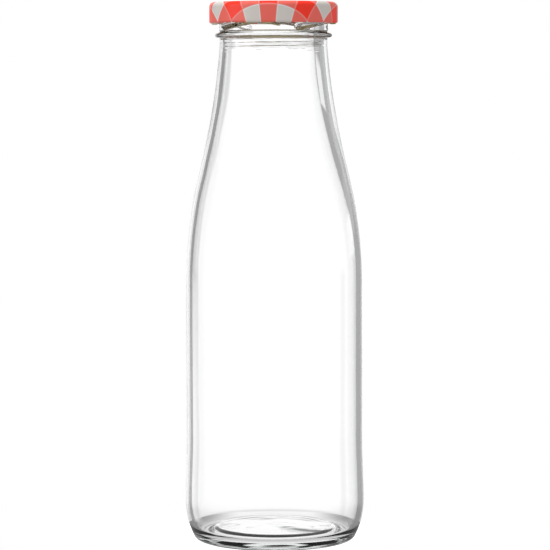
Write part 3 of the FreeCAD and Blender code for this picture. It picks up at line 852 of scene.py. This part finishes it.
def print_material():
    """Glossy lacquered tinplate printed with a finely outlined red and white gingham check."""
    material, nodes = new_material("gingham_lacquer")
    flat = nodes.add("ShaderNodeUVMap", uv_map="print").outputs[0]
    axes = nodes.add("ShaderNodeSeparateXYZ", {0: flat})

    def stripe(value):
        """One in the stripes about even whole numbers and nothing about odd ones, and its outline."""
        wave = nodes.math("PINGPONG", value, 1.0)
        border = nodes.math("ABSOLUTE", nodes.math("SUBTRACT", wave, 0.5))
        inked = nodes.ramp(wave, 0.5 - CHECK_BLUR, 0.5 + CHECK_BLUR, 1.0, 0.0)
        return inked, nodes.ramp(border, OUTLINE_FULL, OUTLINE_END, 1.0, 0.0)

    columns, column_lines = stripe(axes.outputs["X"])
    other_rows, row_lines = stripe(axes.outputs["Y"])
    rows = nodes.math("SUBTRACT", 1.0, other_rows)
    lines = nodes.math("MAXIMUM", column_lines, row_lines)
    faint = nodes.math("MULTIPLY", lines, OUTLINE_ON_INK)
    pale = linear(216, 226, 225)
    full = nodes.mix(faint, linear(246, 56, 38), pale)
    half = nodes.mix(faint, linear(230, 105, 94), pale)
    bare = nodes.mix(lines, linear(205, 199, 193), pale)
    colour = nodes.mix(columns, nodes.mix(rows, bare, half), nodes.mix(rows, half, full))
    mottle = nodes.grain(flat, scale=9.0, detail=4.0)
    shade = nodes.follow(mottle, 0.994, 1.006)
    tone = nodes.add("ShaderNodeVectorMath", {0: colour, "Scale": shade}, operation="SCALE")
    orange_peel = nodes.grain(flat, scale=14.0, detail=2.0)
    lacquer = nodes.add(
        "ShaderNodeBsdfPrincipled",
        {
            "Base Color": tone.outputs[0],
            "Roughness": nodes.follow(mottle, 0.22, 0.34),
            "Specular IOR Level": 0.0,
            "Coat Weight": 0.45,
            "Coat Roughness": 0.2,
            "Normal": nodes.relief(orange_peel, strength=0.03, distance=0.3 * MM),
        },
    )
    nodes.add("ShaderNodeOutputMaterial", {"Surface": lacquer.outputs[0]})
    return material


def enamel_material():
    """Gold lacquer of the lid's inside and its lugs, with faint scuffs."""
    material, nodes = new_material("inside_lacquer")
    place = nodes.add("ShaderNodeTexCoord").outputs["Object"]
    scuffs = nodes.grain(place, scale=420.0, detail=5.0)
    colour = nodes.mix(scuffs, linear(164, 142, 88), linear(182, 160, 104))
    rough = nodes.follow(scuffs, 0.28, 0.42)
    lacquer = nodes.add("ShaderNodeBsdfPrincipled", {"Base Color": colour, "Roughness": rough})
    nodes.add("ShaderNodeOutputMaterial", {"Surface": lacquer.outputs[0]})
    return material


def liner_material():
    """Satin sealing compound, slightly uneven."""
    material, nodes = new_material("sealing_compound")
    place = nodes.add("ShaderNodeTexCoord").outputs["Object"]
    grain = nodes.grain(place, scale=900.0, detail=3.0)
    soft = nodes.add(
        "ShaderNodeBsdfPrincipled",
        {
            "Base Color": nodes.mix(grain, linear(222, 217, 203), linear(238, 234, 222)),
            "Roughness": nodes.follow(grain, 0.48, 0.6),
            "Normal": nodes.relief(grain, strength=0.15, distance=0.2 * MM),
        },
    )
    nodes.add("ShaderNodeOutputMaterial", {"Surface": soft.outputs[0]})
    return material


def floor_material():
    """Pale floor: white to the camera apart from the shadow, and to glass white with a painted grey shadow
    round the base.
    """
    material, nodes = new_material("pale_floor")
    path = nodes.add("ShaderNodeLightPath")
    glow = nodes.math("MULTIPLY", path.outputs["Is Camera Ray"], STAGE_GLOW)
    white = nodes.add("ShaderNodeEmission", {"Color": WHITE, "Strength": glow})
    pale = nodes.add("ShaderNodeBsdfDiffuse", {"Color": (0.8, 0.8, 0.8, 1.0)})
    open_floor = nodes.add("ShaderNodeAddShader", {0: white.outputs[0], 1: pale.outputs[0]})
    spot = nodes.add("ShaderNodeTexCoord").outputs["Object"]
    reach = nodes.add("ShaderNodeVectorMath", {0: spot}, operation="LENGTH").outputs["Value"]
    axes = nodes.add("ShaderNodeSeparateXYZ", {0: spot})
    aside = nodes.math("ABSOLUTE", axes.outputs["X"])
    at_side = nodes.ramp(aside, SHADE_SIDE_START, SHADE_SIDE_FULL)
    at_front = nodes.ramp(axes.outputs["Y"], SHADE_FRONT_FULL, SHADE_FRONT_END, 1.0, 0.0)
    # Painted shadow, seen only by glass and gloss: a grey ring round the base, at its front and its sides
    ring = nodes.ramp(reach, SHADE_INNER, SHADE_OUTER, 0.0, SHADE_DEPTH)
    shade = nodes.math("MULTIPLY", ring, nodes.math("MAXIMUM", at_side, at_front))
    light = nodes.math("SUBTRACT", 1.0, shade)
    painted_shadow_glow = nodes.add("ShaderNodeEmission", {"Color": WHITE, "Strength": light})
    both = nodes.add(
        "ShaderNodeMixShader", {0: nodes.mirrored(path), 1: open_floor.outputs[0], 2: painted_shadow_glow.outputs[0]}
    )
    nodes.add("ShaderNodeOutputMaterial", {"Surface": both.outputs[0]})
    return material


# Stage, light and camera

def make_floor():
    """A small round floor under the object."""
    rim = [turned(STAGE_RADIUS, 0.0, FULL_TURN * i / STAGE_SIDES) for i in range(STAGE_SIDES)]
    mesh = bpy.data.meshes.new("floor")
    mesh.from_pydata(rim, [], [tuple(range(STAGE_SIDES))])
    mesh.materials.append(floor_material())
    floor = bpy.data.objects.new("floor", mesh)
    floor.location.z = -STAGE_DROP
    bpy.context.scene.collection.objects.link(floor)


def room_level(nodes):
    """Brightness of the room that glass and gloss see, by direction and by the glass on the way."""
    direction = nodes.add("ShaderNodeTexCoord").outputs["Generated"]
    axes = nodes.add("ShaderNodeSeparateXYZ", {0: direction})
    degrees = math.degrees(1)
    side = nodes.math("MULTIPLY", nodes.math("ARCTAN2", axes.outputs["X"], axes.outputs["Y"]), degrees)
    rise = nodes.math("MULTIPLY", nodes.math("ARCSINE", axes.outputs["Z"]), degrees)
    faces = nodes.add("ShaderNodeLightPath").outputs["Transmission Depth"]

    def band(angle, card):
        """Strength of a card at an angle."""
        low, high, soft, strength = card
        rising = nodes.ramp(angle, low - soft, low + soft, 0.0, strength)
        return nodes.math("MULTIPLY", rising, nodes.ramp(angle, high - soft, high + soft, 1.0, 0.0))

    in_barrel = nodes.ramp(rise, BARREL_LIGHT_FULL, BARREL_LIGHT_END, 1.0, 0.0)
    in_shoulder = nodes.ramp(rise, SHOULDER_LIGHT_FULL, SHOULDER_LIGHT_END, 1.0, 0.0)
    barrel_cards = nodes.math("ADD", band(side, LEFT_LOW_CARD), band(side, THIN_LOW_CARD))
    through_grey = nodes.math(
        "ADD",
        band(side, LEFT_CARD),
        nodes.math("MULTIPLY", barrel_cards, in_barrel),
        nodes.math("MULTIPLY", band(side, RIGHT_LOW_CARD), in_shoulder),
    )

    high = nodes.ramp(rise, HIGH_WALL_START, HIGH_WALL_FULL)
    high_card = nodes.math("MULTIPLY", band(side, HIGH_WALL_CARD), high)
    window = nodes.math("MULTIPLY", band(side, WINDOW), band(rise, WINDOW_RISE))
    wall_cards = nodes.math("ADD", high_card, *[band(side, card) for card in WALL_CARDS])
    wall_grey = nodes.math("SUBTRACT", wall_cards, window)

    is_through = nodes.ramp(faces, *WALL_FACES)
    is_wall = nodes.math("SUBTRACT", 1.0, is_through)
    grey = nodes.math(
        "ADD", nodes.math("MULTIPLY", through_grey, is_through), nodes.math("MULTIPLY", wall_grey, is_wall)
    )
    is_gloss = nodes.ramp(faces, *GLOSS_FACES, 1.0, 0.0)
    softbox = nodes.math("MULTIPLY", band(side, SOFTBOX), band(rise, SOFTBOX_RISE), is_gloss)
    around = nodes.math("ADD", nodes.math("SUBTRACT", ROOM_LIGHT, grey), softbox)
    above = nodes.ramp(rise, CEILING_START, CEILING_FULL, 1.0, CEILING_LIGHT)
    below = nodes.math("SUBTRACT", 1.0, band(rise, GROUND_CARD))
    return nodes.math("MULTIPLY", around, above, below)


def make_world():
    """White to the camera; a white room with soft grey sides to glass and gloss; else plain light."""
    world = bpy.data.worlds.new("studio")
    bpy.context.scene.world = world
    world.use_nodes = True
    nodes = Nodes(world.node_tree)
    room = nodes.add("ShaderNodeBackground", {"Color": WHITE, "Strength": room_level(nodes)})
    white = nodes.add("ShaderNodeBackground", {"Color": WHITE, "Strength": 1.0})
    plain = nodes.add("ShaderNodeBackground", {"Color": WHITE, "Strength": PLAIN_LIGHT})
    path = nodes.add("ShaderNodeLightPath")
    indirect = nodes.add(
        "ShaderNodeMixShader", {0: nodes.mirrored(path), 1: plain.outputs[0], 2: room.outputs[0]}
    )
    is_camera = path.outputs["Is Camera Ray"]
    shown = nodes.add("ShaderNodeMixShader", {0: is_camera, 1: indirect.outputs[0], 2: white.outputs[0]})
    nodes.add("ShaderNodeOutputWorld", {"Surface": shown.outputs[0]})


def make_lamp():
    """A square soft lamp high on the left, which glass and gloss don't show."""
    data = bpy.data.lights.new("top_lamp", "AREA")
    data.shape = "SQUARE"
    data.size = LAMP_SIZE
    data.energy = LAMP_POWER
    lamp = bpy.data.objects.new("top_lamp", data)
    lamp.location = LAMP_PLACE
    lamp.visible_glossy = False
    lamp.visible_transmission = False
    lamp.rotation_euler = (LAMP_TARGET - LAMP_PLACE).to_track_quat("-Z", "Y").to_euler()
    bpy.context.scene.collection.objects.link(lamp)


def make_camera():
    """The photograph's camera: level with the upper part of the shoulder, looking slightly down."""
    data = bpy.data.cameras.new("camera")
    data.sensor_width = SENSOR
    data.sensor_fit = "HORIZONTAL"
    data.lens = SENSOR * FOCAL_PIXELS / IMAGE_SIDE
    data.clip_end = CAMERA_REACH
    camera = bpy.data.objects.new("camera", data)
    camera.location = CAMERA_PLACE
    camera.rotation_euler = (QUARTER_TURN - CAMERA_PITCH, CAMERA_ROLL, 0.0)
    bpy.context.scene.collection.objects.link(camera)
    bpy.context.scene.camera = camera


make_camera()
make_bottle()
make_lid()
make_liner()
make_floor()
make_world()
make_lamp()
bpy.context.scene.view_settings.view_transform = "Standard"
